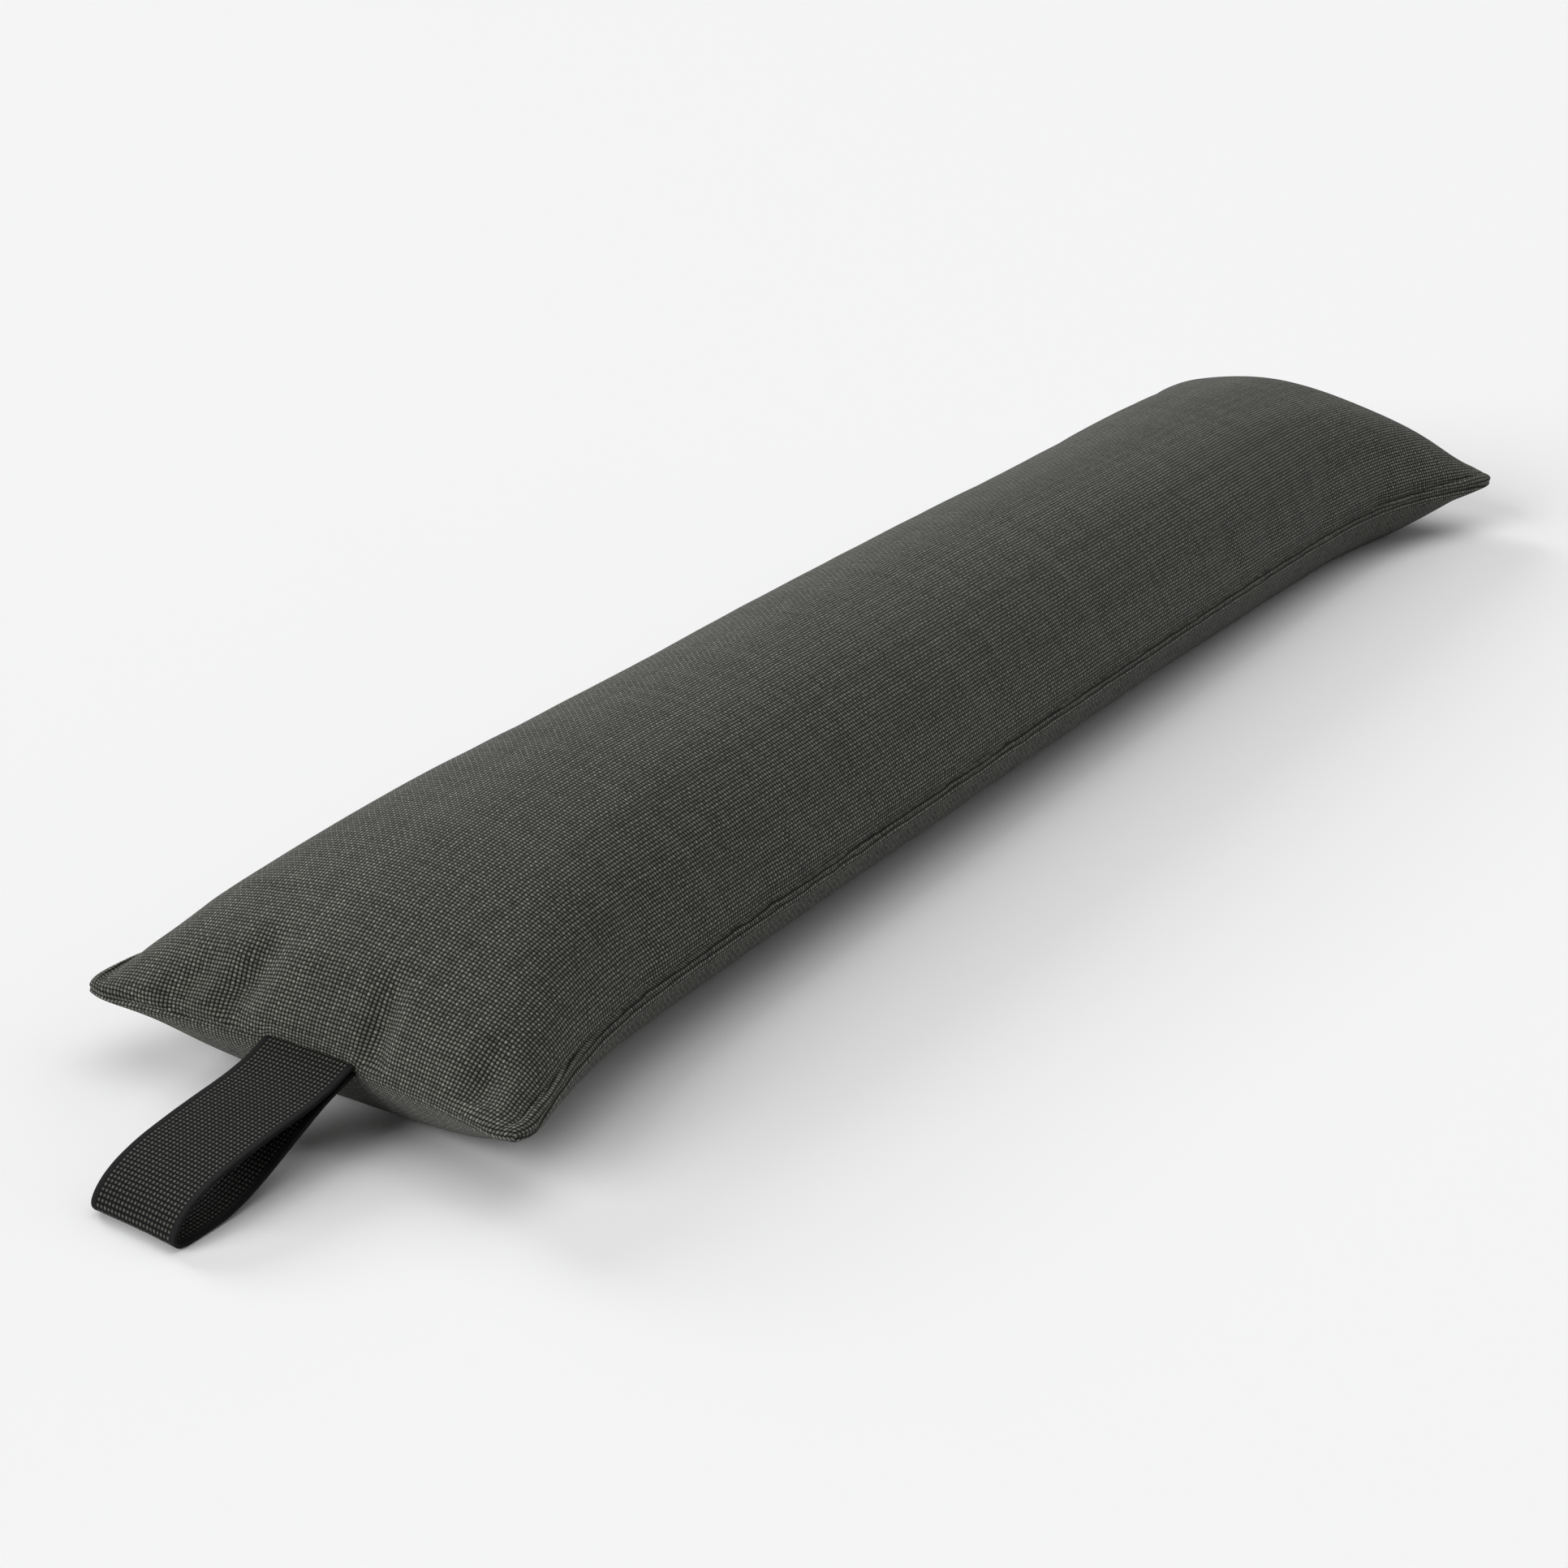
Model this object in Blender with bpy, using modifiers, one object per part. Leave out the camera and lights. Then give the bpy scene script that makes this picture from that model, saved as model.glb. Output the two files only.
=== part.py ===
"""Draught excluder: a long filled canvas cushion with a webbing grab loop.

Metres, +Z up, resting on z = 0. +X runs along the cushion away from its loop, +Y to its left.
The origin is under the middle of the whole piece.

Run with: blender --background --python part.py
"""
from collections import namedtuple

import bpy
import numpy as np

# The cover is two rectangles of canvas, sewn all round and turned, then filled.
COVER_LENGTH = 0.812          # between the short seams' corners, before they are rounded
COVER_CENTRE = (0.0400, 0.0006)
CROWN_SQUARENESS = (1.80, 1.76)    # exponents of the top's arc across the cushion
BELLY_SQUARENESS = (2.18, 2.00)    # the same for the underside, which is flatter
BELLY_FALL = (2.2, 1.6)            # exponents of its fall from a short seam
BELLY_DEPTH = 0.0426          # how far the underside would hang below the seam, without a floor
FLOOR_EASE = 0.002            # roundness where the underside meets the floor
SEAM_SETTLE = 0.07            # reach of a short seam's own height along the cushion
FLARE_POWER = 1.5             # how sharply the sides flare towards the corners

# One row for each section: share of the length from the loop's end, half of the width at the
# seam, the seam's height above the floor, and the crown's height above the seam.
Section = namedtuple("Section", "along half_width seam_height crown")
SECTIONS = (
    Section(0.1, 0.0817, 0.0341, 0.0605),
    Section(0.3, 0.0772, 0.0320, 0.0559),
    Section(0.5, 0.0750, 0.0313, 0.0560),
    Section(0.7, 0.0722, 0.0288, 0.0559),
    Section(0.9, 0.0704, 0.0250, 0.0604),
)
SECTIONS_REACH = (0.06, 0.94)     # the sections' curves stay level outside these shares

# One row for each short seam: how far its middle is drawn in, its middle's height, the run of the
# crown's rise, the two exponents of that rise, and the run of the underside's fall.
End = namedtuple("End", "drawn_in height rise_run rise_start rise_end fall_run")
NEAR_END = End(0.0130, 0.0284, 0.248, 2.56, 2.10, 0.078)
FAR_END = End(0.0048, 0.0262, 0.202, 2.54, 2.40, 0.096)

# One row for each corner: half of the width there, the reach of its flare along the cushion, the
# rounding of its tip, its height, and the reach of the flat ear that the filling doesn't get into.
Corner = namedtuple("Corner", "half_width flare rounding height ear")
NEAR_LEFT = Corner(0.1014, 0.0525, 0.017, 0.0302, 0.0288)
NEAR_RIGHT = Corner(0.1030, 0.0465, 0.018, 0.0294, 0.0268)
FAR_RIGHT = Corner(0.1034, 0.0490, 0.014, 0.0240, 0.0245)
FAR_LEFT = Corner(0.1020, 0.0510, 0.014, 0.0262, 0.0250)
EAR_FLATNESS = 0.8            # share of the filling's height that is missing at a corner
EAR_THICKNESS = 0.0060        # two layers and their turned seam

# The seam: a small bead where the layers turn in, with a groove on each side of it.
Groove = namedtuple("Groove", "depth place width")
TOP_GROOVE = Groove(0.0013, 0.0055, 0.0028)
UNDER_GROOVE = Groove(0.0007, 0.0055, 0.0026)
BEAD = 0.0011
BEAD_REACH = 0.0022

# Puckers in the top panel, a row for each: where it starts, as the distance along the cloth from
# the short seam at the loop and from the middle towards the left, where it ends, and its size.
# A row with a negative depth is a swelling.
Pucker = namedtuple("Pucker", "along across end_along end_across depth width")
PUCKERS = (
    Pucker(0.002, 0.040, 0.046, 0.024, 0.0046, 0.0075),
    Pucker(0.001, 0.064, 0.030, 0.045, 0.0022, 0.0070),
    Pucker(0.002, -0.028, 0.040, -0.026, 0.0030, 0.0060),
    Pucker(0.006, -0.078, 0.034, -0.074, 0.0024, 0.0060),
    Pucker(0.106, -0.100, 0.128, -0.066, 0.0013, 0.0090),
    Pucker(0.190, -0.098, 0.208, -0.072, 0.0010, 0.0085),
    Pucker(0.596, -0.090, 0.628, -0.060, 0.0012, 0.0090),
    Pucker(0.640, -0.092, 0.664, -0.066, 0.0012, 0.0080),
    Pucker(0.696, -0.098, 0.738, -0.056, 0.0017, 0.0085),
    Pucker(0.758, -0.100, 0.782, -0.070, 0.0016, 0.0070),
    Pucker(0.060, 0.045, 0.210, 0.045, -0.0014, 0.0240),
    Pucker(0.640, 0.040, 0.760, 0.040, -0.0010, 0.0240),
)
PUCKER_START = 0.7            # below 1, a pucker is deepest near the seam it runs from

# The flat panels' size, and the spacing of the cover's rows of points over them: the first step
# from a seam, its growth, and its limits.
PANEL_LENGTH = 0.845
PANEL_WIDTH = 0.200
FIRST_STEP = 0.0022
STEP_GROWTH = 1.27
LARGEST_ALONG = 0.0175
LARGEST_ACROSS = 0.0090
SPREAD_PASSES = 12

# The loop: one length of webbing folded in half, its two ends caught in the short seam.
WEBBING_WIDTH = 0.0415
WEBBING_THICKNESS = 0.0016
WEBBING_CENTRE = -0.0014      # where it leaves the seam, from the cushion's middle
LOOP_LEAN = 0.034             # how far it leans to the left, for each metre it stands out
LOOP_SKEW = 0.036             # share by which the loop is shorter at its left edge
SEAM_CLEARANCE = 0.0003
PATH_STEPS = 3                # steps between two points of the loop's path
ACROSS_STEPS = 3

# The loop's path, seen from its right edge: how far it stands out from its root, and its height.
LoopPoint = namedtuple("LoopPoint", "out height")
LOOP_PATH = (
    LoopPoint(0.0000, 0.0295),
    LoopPoint(0.0110, 0.0258),
    LoopPoint(0.0230, 0.0236),
    LoopPoint(0.0390, 0.0220),
    LoopPoint(0.0520, 0.0205),
    LoopPoint(0.0665, 0.0182),
    LoopPoint(0.0780, 0.0148),
    LoopPoint(0.0858, 0.0104),
    LoopPoint(0.0900, 0.0054),
    LoopPoint(0.0892, 0.0021),
    LoopPoint(0.0856, 0.0009),
    LoopPoint(0.0780, 0.0009),
    LoopPoint(0.0640, 0.0020),
    LoopPoint(0.0490, 0.0066),
    LoopPoint(0.0300, 0.0152),
    LoopPoint(0.0150, 0.0219),
    LoopPoint(0.0000, 0.0268),
)

Finish = namedtuple("Finish", "name colour roughness")
CANVAS = Finish("dark grey canvas", (0.070, 0.070, 0.067), 0.92)
WEBBING = Finish("black webbing", (0.022, 0.022, 0.023), 0.70)


def clear_scene():
    for item in list(bpy.data.objects):
        bpy.data.objects.remove(item, do_unlink=True)


def new_collection(name):
    collection = bpy.data.collections.new(name)
    bpy.context.scene.collection.children.link(collection)
    return collection


def new_material(finish):
    material = bpy.data.materials.new(finish.name)
    material.use_nodes = True
    shader = material.node_tree.nodes["Principled BSDF"]
    shader.inputs["Base Color"].default_value = (*finish.colour, 1.0)
    shader.inputs["Roughness"].default_value = finish.roughness
    shader.inputs["Metallic"].default_value = 0.0
    return material


def new_object(name, points, faces, finish, collection):
    mesh = bpy.data.meshes.new(name)
    mesh.from_pydata(points.tolist(), [], faces.tolist())
    mesh.validate()
    mesh.shade_smooth()
    mesh.materials.append(new_material(finish))
    item = bpy.data.objects.new(name, mesh)
    collection.objects.link(item)
    return item


def through_sections(column, along):
    """The smooth polynomial curve through the sections' values of one column."""
    stations = [section.along for section in SECTIONS]
    values = [getattr(section, column) for section in SECTIONS]
    curve = np.polyfit(stations, values, len(SECTIONS) - 1)
    return np.polyval(curve, np.clip(along, *SECTIONS_REACH))


def at_end(column, u):
    return np.where(u < 0, getattr(NEAR_END, column), getattr(FAR_END, column))


def at_corner(column, u, v):
    near = np.where(v > 0, getattr(NEAR_LEFT, column), getattr(NEAR_RIGHT, column))
    far = np.where(v > 0, getattr(FAR_LEFT, column), getattr(FAR_RIGHT, column))
    return np.where(u < 0, near, far)


def eased_floor(height):
    """The height, stopped at the floor with a small round."""
    ease = FLOOR_EASE
    rounded = (height + ease) ** 2 / (4 * ease)
    return np.where(height > ease, height, np.where(height < -ease, 0.0, rounded))


def round_corners(x, y, half_length, half_width, rounding):
    """Squares of the given size at the corners are mapped to quarter discs."""
    p = np.clip(1 - (half_length - np.abs(x)) / rounding, 0, 1)
    q = np.clip(1 - (half_width - np.abs(y)) / rounding, 0, 1)
    x_in = p - p * np.sqrt(1 - q ** 2 / 2)
    y_in = q - q * np.sqrt(1 - p ** 2 / 2)
    return x - np.sign(x) * x_in * rounding, y - np.sign(y) * y_in * rounding


def smooth_panel(u, v, top):
    """Points of one filled panel, with u along and v across it, both from -1 to 1.

    Both panels share the seam line at u or v of -1 and 1. Above it the crown rises as an arc,
    and below it the belly hangs as a flatter one, until the floor stops it.
    """
    along = (u + 1) / 2
    from_end = (1 - np.abs(u)) * COVER_LENGTH / 2
    waist = through_sections("half_width", along)
    corner = at_corner("half_width", u, v)
    half_width = waist + (corner - waist) * np.exp(-(from_end / at_corner("flare", u, v)) ** FLARE_POWER)
    half_length = COVER_LENGTH / 2 - at_end("drawn_in", u) * (1 - v ** 2)

    seam = at_end("height", u) + (at_corner("height", u, v) - at_end("height", u)) * v ** 2
    settle = np.exp(-(from_end / SEAM_SETTLE) ** 2)
    seam = seam * settle + through_sections("seam_height", along) * (1 - settle)
    from_corner = np.hypot(COVER_LENGTH / 2 - np.abs(u * half_length), corner - np.abs(v * half_width))
    corner_share = np.exp(-(from_corner / at_corner("ear", u, v)) ** 2)
    filled = 1 - EAR_FLATNESS * corner_share

    if top:
        run = np.clip(from_end / at_end("rise_run", u), 0, 1)
        rise = (1 - (1 - run) ** at_end("rise_start", u)) ** (1 / at_end("rise_end", u))
        arc = (1 - np.abs(v) ** CROWN_SQUARENESS[0]) ** (1 / CROWN_SQUARENESS[1])
        z = seam + through_sections("crown", along) * rise * arc * filled
    else:
        run = np.clip(from_end / at_end("fall_run", u), 0, 1)
        fall = (1 - (1 - run) ** BELLY_FALL[0]) ** (1 / BELLY_FALL[1])
        arc = (1 - np.abs(v) ** BELLY_SQUARENESS[0]) ** (1 / BELLY_SQUARENESS[1])
        z = eased_floor(seam - BELLY_DEPTH * fall * arc * filled)
    rounding = at_corner("rounding", u, v)
    x, y = round_corners(u * half_length, v * half_width, half_length, half_width, rounding)
    return np.stack([x, y, z], axis=-1), corner_share


def graded_shares(length, largest):
    """Shares of a length, from 0 to 1, closest together near both ends."""
    steps = [FIRST_STEP]
    while sum(steps) < length / 2:
        steps.append(min(steps[-1] * STEP_GROWTH, largest))
    rows = np.concatenate([[0.0], np.cumsum(steps)])
    rows /= 2 * rows[-1]
    return np.concatenate([rows, 1 - rows[-2::-1]])


def spread(values, points, shares):
    """The values moved along the grid's rows, to where the cloth's length reaches each share."""
    moved = []
    for row, line in zip(values, points):
        length = np.concatenate([[0.0], np.cumsum(np.linalg.norm(np.diff(line, axis=0), axis=-1))])
        moved.append([np.interp(shares * length[-1], length, column) for column in row.T])
    return np.array(moved).transpose(0, 2, 1)


def cloth_grid(top, shares_along, shares_across):
    """The panel's parameters u and v, spread so that the grid's steps are even over the cloth."""
    u, v = np.meshgrid(shares_along * 2 - 1, shares_across * 2 - 1, indexing="ij")
    grid = np.stack([u, v], axis=-1)
    for _ in range(SPREAD_PASSES):
        points, _ = smooth_panel(grid[..., 0], grid[..., 1], top)
        grid = spread(grid, points, shares_across)
        points, _ = smooth_panel(grid[..., 0], grid[..., 1], top)
        turned = spread(grid.transpose(1, 0, 2), points.transpose(1, 0, 2), shares_along)
        grid = turned.transpose(1, 0, 2)
    return grid[..., 0], grid[..., 1]


def surface_normals(points, top):
    normals = np.cross(np.gradient(points, axis=0), np.gradient(points, axis=1))
    normals /= np.linalg.norm(normals, axis=-1, keepdims=True)
    return normals if top else -normals


def pucker_depth(along, across, pucker):
    """A soft trough along a straight line over the cloth, deepest near its start."""
    run = np.array([pucker.end_along - pucker.along, pucker.end_across - pucker.across])
    length = np.linalg.norm(run)
    run /= length
    share = ((along - pucker.along) * run[0] + (across - pucker.across) * run[1]) / length
    aside = (across - pucker.across) * run[0] - (along - pucker.along) * run[1]
    swell = np.sin(np.pi * np.clip(share, 0, 1) ** PUCKER_START)
    return pucker.depth * swell * np.exp(-(aside / pucker.width) ** 2)


def panel_points(top, shares_along, shares_across):
    """One panel with its seam's groove and bead, its ears' thickness and its puckers."""
    u, v = cloth_grid(top, shares_along, shares_across)
    points, corner_share = smooth_panel(u, v, top)
    along = shares_along[:, None] * PANEL_LENGTH
    across = (shares_across[None, :] - 0.5) * PANEL_WIDTH
    to_end = np.minimum(along, PANEL_LENGTH - along)
    to_side = PANEL_WIDTH / 2 - np.abs(across)
    to_seam = np.minimum(to_end, to_side)

    groove = TOP_GROOVE if top else UNDER_GROOVE
    inward = groove.depth * np.exp(-((to_seam - groove.place) / groove.width) ** 2)
    inward = inward * (1 - corner_share)
    inward = inward - EAR_THICKNESS / 2 * corner_share * (1 - np.exp(-to_seam / BEAD_REACH))
    if top:
        for pucker in PUCKERS:
            inward = inward + pucker_depth(along, across, pucker)
    inward = np.where(to_seam > 0, inward, 0.0)
    points = points - surface_normals(points, top) * inward[..., None]

    points[..., 0] += np.sign(u) * BEAD * np.exp(-(to_end / BEAD_REACH) ** 2)
    points[..., 1] += np.sign(v) * BEAD * np.exp(-(to_side / BEAD_REACH) ** 2)
    points[..., 2] = np.maximum(points[..., 2], 0.0)
    return points


def quads(numbers, flipped):
    """The faces between neighbouring points of a grid of vertex numbers."""
    corners = (numbers[:-1, :-1], numbers[1:, :-1], numbers[1:, 1:], numbers[:-1, 1:])
    faces = np.stack(corners, axis=-1).reshape(-1, 4)
    return faces[:, ::-1] if flipped else faces


def build_cover(collection):
    """The filled cover: two panels that share their seam line, as one closed solid."""
    shares_along = graded_shares(PANEL_LENGTH, LARGEST_ALONG)
    shares_across = graded_shares(PANEL_WIDTH, LARGEST_ACROSS)
    upper = panel_points(True, shares_along, shares_across)
    under = panel_points(False, shares_along, shares_across)
    rows, columns = upper.shape[:2]
    upper_numbers = np.arange(rows * columns).reshape(rows, columns)
    under_numbers = upper_numbers.copy()
    inner = (rows - 2) * (columns - 2)
    under_numbers[1:-1, 1:-1] = rows * columns + np.arange(inner).reshape(rows - 2, columns - 2)

    points = np.concatenate([upper.reshape(-1, 3), under[1:-1, 1:-1].reshape(-1, 3)])
    points[:, :2] += COVER_CENTRE
    faces = np.concatenate([quads(upper_numbers, False), quads(under_numbers, True)])
    return new_object("filled_cover", points, faces, CANVAS, collection)


def curve_through(points, steps):
    """A smooth curve through the points, with the given steps between each two (Catmull-Rom)."""
    ends = np.concatenate([2 * points[:1] - points[1:2], points, 2 * points[-1:] - points[-2:-1]])
    before, start, finish, after = ends[:-3], ends[1:-2], ends[2:-1], ends[3:]
    t = (np.arange(steps) / steps)[None, :, None]
    before, start, finish, after = (p[:, None, :] for p in (before, start, finish, after))
    curve = 0.5 * (
        2 * start
        + (finish - before) * t
        + (2 * before - 5 * start + 4 * finish - after) * t ** 2
        + (3 * start - before - 3 * finish + after) * t ** 3
    )
    return np.concatenate([curve.reshape(-1, points.shape[1]), points[-1:]])


def near_seam_x(y):
    """Where the short seam at the loop lies, at a distance y from the cover's middle."""
    v = y / np.where(y > 0, NEAR_LEFT.half_width, NEAR_RIGHT.half_width)
    return -COVER_LENGTH / 2 + NEAR_END.drawn_in * (1 - v ** 2) - BEAD


def build_loop(collection):
    """The webbing loop: a strip carried along its path, given its thickness by Solidify."""
    path = curve_through(np.array(LOOP_PATH), PATH_STEPS)
    out = path[:, :1]
    height = np.maximum(path[:, 1:], WEBBING_THICKNESS / 2)
    to_left = np.linspace(0, 1, ACROSS_STEPS + 1)[None, :]
    at_seam = WEBBING_CENTRE + (to_left - 0.5) * WEBBING_WIDTH
    x = near_seam_x(at_seam) - SEAM_CLEARANCE - out * (1 - LOOP_SKEW * to_left)
    y = at_seam + LOOP_LEAN * out
    points = np.stack(np.broadcast_arrays(x, y, height), axis=-1)
    numbers = np.arange(points[..., 0].size).reshape(points.shape[:2])
    points = points.reshape(-1, 3)
    points[:, :2] += COVER_CENTRE

    strip = new_object("webbing_loop", points, quads(numbers, False), WEBBING, collection)
    solidify = strip.modifiers.new("thickness", "SOLIDIFY")
    solidify.thickness = WEBBING_THICKNESS
    solidify.offset = 0.0
    return strip


def main():
    clear_scene()
    collection = new_collection("draught_excluder")
    build_cover(collection)
    build_loop(collection)


main()
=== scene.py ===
"""Dressed model of a draught excluder: a long filled canvas cushion with a webbing grab loop.

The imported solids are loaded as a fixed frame, and a finer cover and a finer loop take their
places. Metres, +Z up, resting on z = 0. +X runs along the cushion away from its loop, and +Y to
its left. "Along" and "across" are places on the flat canvas panels, before they were filled:
along from the short seam at the loop, and across from the middle towards the left.
"""

from __future__ import annotations

import logging
import math
from dataclasses import dataclass, field
from enum import Enum
from typing import Sequence, Union

import bpy
import numpy as np
from mathutils import Matrix, Vector


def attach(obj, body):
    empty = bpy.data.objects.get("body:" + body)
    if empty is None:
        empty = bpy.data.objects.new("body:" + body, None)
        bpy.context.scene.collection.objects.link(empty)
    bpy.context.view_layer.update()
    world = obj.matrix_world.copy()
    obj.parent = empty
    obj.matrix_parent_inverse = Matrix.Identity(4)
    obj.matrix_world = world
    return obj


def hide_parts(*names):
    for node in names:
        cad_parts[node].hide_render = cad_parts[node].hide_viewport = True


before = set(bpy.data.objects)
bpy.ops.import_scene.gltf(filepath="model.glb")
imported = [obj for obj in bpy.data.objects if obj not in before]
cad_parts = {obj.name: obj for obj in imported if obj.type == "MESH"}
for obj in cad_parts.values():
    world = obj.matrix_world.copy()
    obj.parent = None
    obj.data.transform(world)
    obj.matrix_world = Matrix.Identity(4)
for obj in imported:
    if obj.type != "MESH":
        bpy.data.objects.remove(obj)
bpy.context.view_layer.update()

BODY = "root"
CLOTH_UV = "cloth"
NOISE_WAVES = 12
NOISE_SPREAD = (0.7, 1.5)             # shortest and longest wave, as shares of the wavelength

LOG = logging.getLogger("draught_excluder")

Value = Union[float, bpy.types.NodeSocket]
Colour = tuple[float, float, float]
Pair = tuple[np.ndarray, np.ndarray]


class Side(Enum):
    """The two canvas panels of the cover."""

    TOP = "top"
    UNDER = "under"


# Shader graphs


class Graph:
    """Adds nodes to the tree of a material or a node group, and links them."""

    def __init__(self, tree: bpy.types.NodeTree) -> None:
        """Keeps the tree."""
        self.tree = tree

    def feed(self, socket: bpy.types.NodeSocket, value: object) -> None:
        """Links a socket into another, or sets a plain value on it.

        Args:
            socket: the input that is fed.
            value: an output socket, a number, or a tuple of numbers.
        """
        if isinstance(value, bpy.types.NodeSocket):
            self.tree.links.new(value, socket)
        else:
            socket.default_value = value

    def node(
        self, kind: str, inputs: dict[str | int, object] | None = None, **settings: object
    ) -> bpy.types.Node:
        """Makes one node.

        Args:
            kind: the node's type, without the leading "ShaderNode".
            inputs: values or sockets for its inputs, by name or number.
            settings: the node's own properties.

        Returns:
            The new node.
        """
        made = self.tree.nodes.new(kind if kind.startswith("NodeGroup") else f"ShaderNode{kind}")
        for name, value in settings.items():
            setattr(made, name, value)
        for key, value in (inputs or {}).items():
            self.feed(made.inputs[key], value)
        return made

    def math(self, operation: str, *values: Value) -> bpy.types.NodeSocket:
        """Works out one number from others.

        Args:
            operation: the Math node's operation, such as "MULTIPLY".
            values: its one to three operands.

        Returns:
            The result's socket.
        """
        return self.node("Math", dict(enumerate(values)), operation=operation).outputs[0]

    def remap(
        self, value: Value, low: float, high: float, to_low: float = 0.0, to_high: float = 1.0
    ) -> bpy.types.NodeSocket:
        """Maps a range smoothly onto another.

        Args:
            value: what is mapped.
            low: the start of its range.
            high: the end of its range.
            to_low: the result at the start.
            to_high: the result at the end.

        Returns:
            The result's socket.
        """
        made = self.node("MapRange", {"Value": value}, interpolation_type="SMOOTHSTEP")
        ends = {"From Min": low, "From Max": high, "To Min": to_low, "To Max": to_high}
        for name, end in ends.items():
            self.feed(made.inputs[name], end)
        return made.outputs[0]

    def mix(self, share: Value, first: object, second: object) -> bpy.types.NodeSocket:
        """Mixes two colours.

        Args:
            share: 0 for the first, 1 for the second.
            first: a colour or its socket.
            second: a colour or its socket.

        Returns:
            The mixed colour's socket.
        """
        inputs = {0: share, 6: first, 7: second}
        return self.node("Mix", inputs, data_type="RGBA", clamp_factor=True).outputs[2]

    def between(self, share: Value, first: Value, second: Value) -> bpy.types.NodeSocket:
        """Mixes two numbers.

        Args:
            share: 0 for the first, 1 for the second.
            first: a number or its socket.
            second: a number or its socket.

        Returns:
            The mixed number's socket.
        """
        return self.node("Mix", {0: share, 2: first, 3: second}).outputs[0]


def opaque(colour: Colour) -> tuple[float, float, float, float]:
    """The colour with a full alpha."""
    return (*colour, 1.0)


class ClothGroup:
    """A node group that reads the place on the flat cloth, built once and shared by finishes."""

    NAME = ""
    VALUES: Sequence[str] = ()        # its number inputs, after the place
    RESULTS: Sequence[str] = ()

    def __init__(self) -> None:
        """Makes the group with its sockets, and fills it."""
        self.tree = bpy.data.node_groups.new(self.NAME, "ShaderNodeTree")
        sockets = self.tree.interface
        sockets.new_socket("Cloth", in_out="INPUT", socket_type="NodeSocketVector")
        for name in self.VALUES:
            sockets.new_socket(name, in_out="INPUT", socket_type="NodeSocketFloat")
        for name in self.RESULTS:
            sockets.new_socket(name, in_out="OUTPUT", socket_type="NodeSocketFloat")
        graph = Graph(self.tree)
        given = graph.node("NodeGroupInput").outputs
        graph.node("NodeGroupOutput", self.fill(graph, given))

    def fill(self, graph: Graph, given: bpy.types.NodeOutputs) -> dict[str, bpy.types.NodeSocket]:
        """Adds the nodes, which each kind of group has of its own.

        Args:
            graph: the group's own graph.
            given: the group's inputs, as sockets to link from.

        Returns:
            The socket of each result.
        """
        raise NotImplementedError

    def place(
        self, graph: Graph, cloth: bpy.types.NodeSocket, *values: float
    ) -> bpy.types.NodeOutputs:
        """Puts the group into a material.

        Args:
            graph: the material's graph.
            cloth: the socket with the place on the flat cloth, in metres.
            values: the number inputs, in their order.

        Returns:
            The results.
        """
        made = graph.tree.nodes.new("ShaderNodeGroup")
        made.node_tree = self.tree
        for name, value in zip(("Cloth", *self.VALUES), (cloth, *values)):
            graph.feed(made.inputs[name], value)
        return made.outputs


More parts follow.
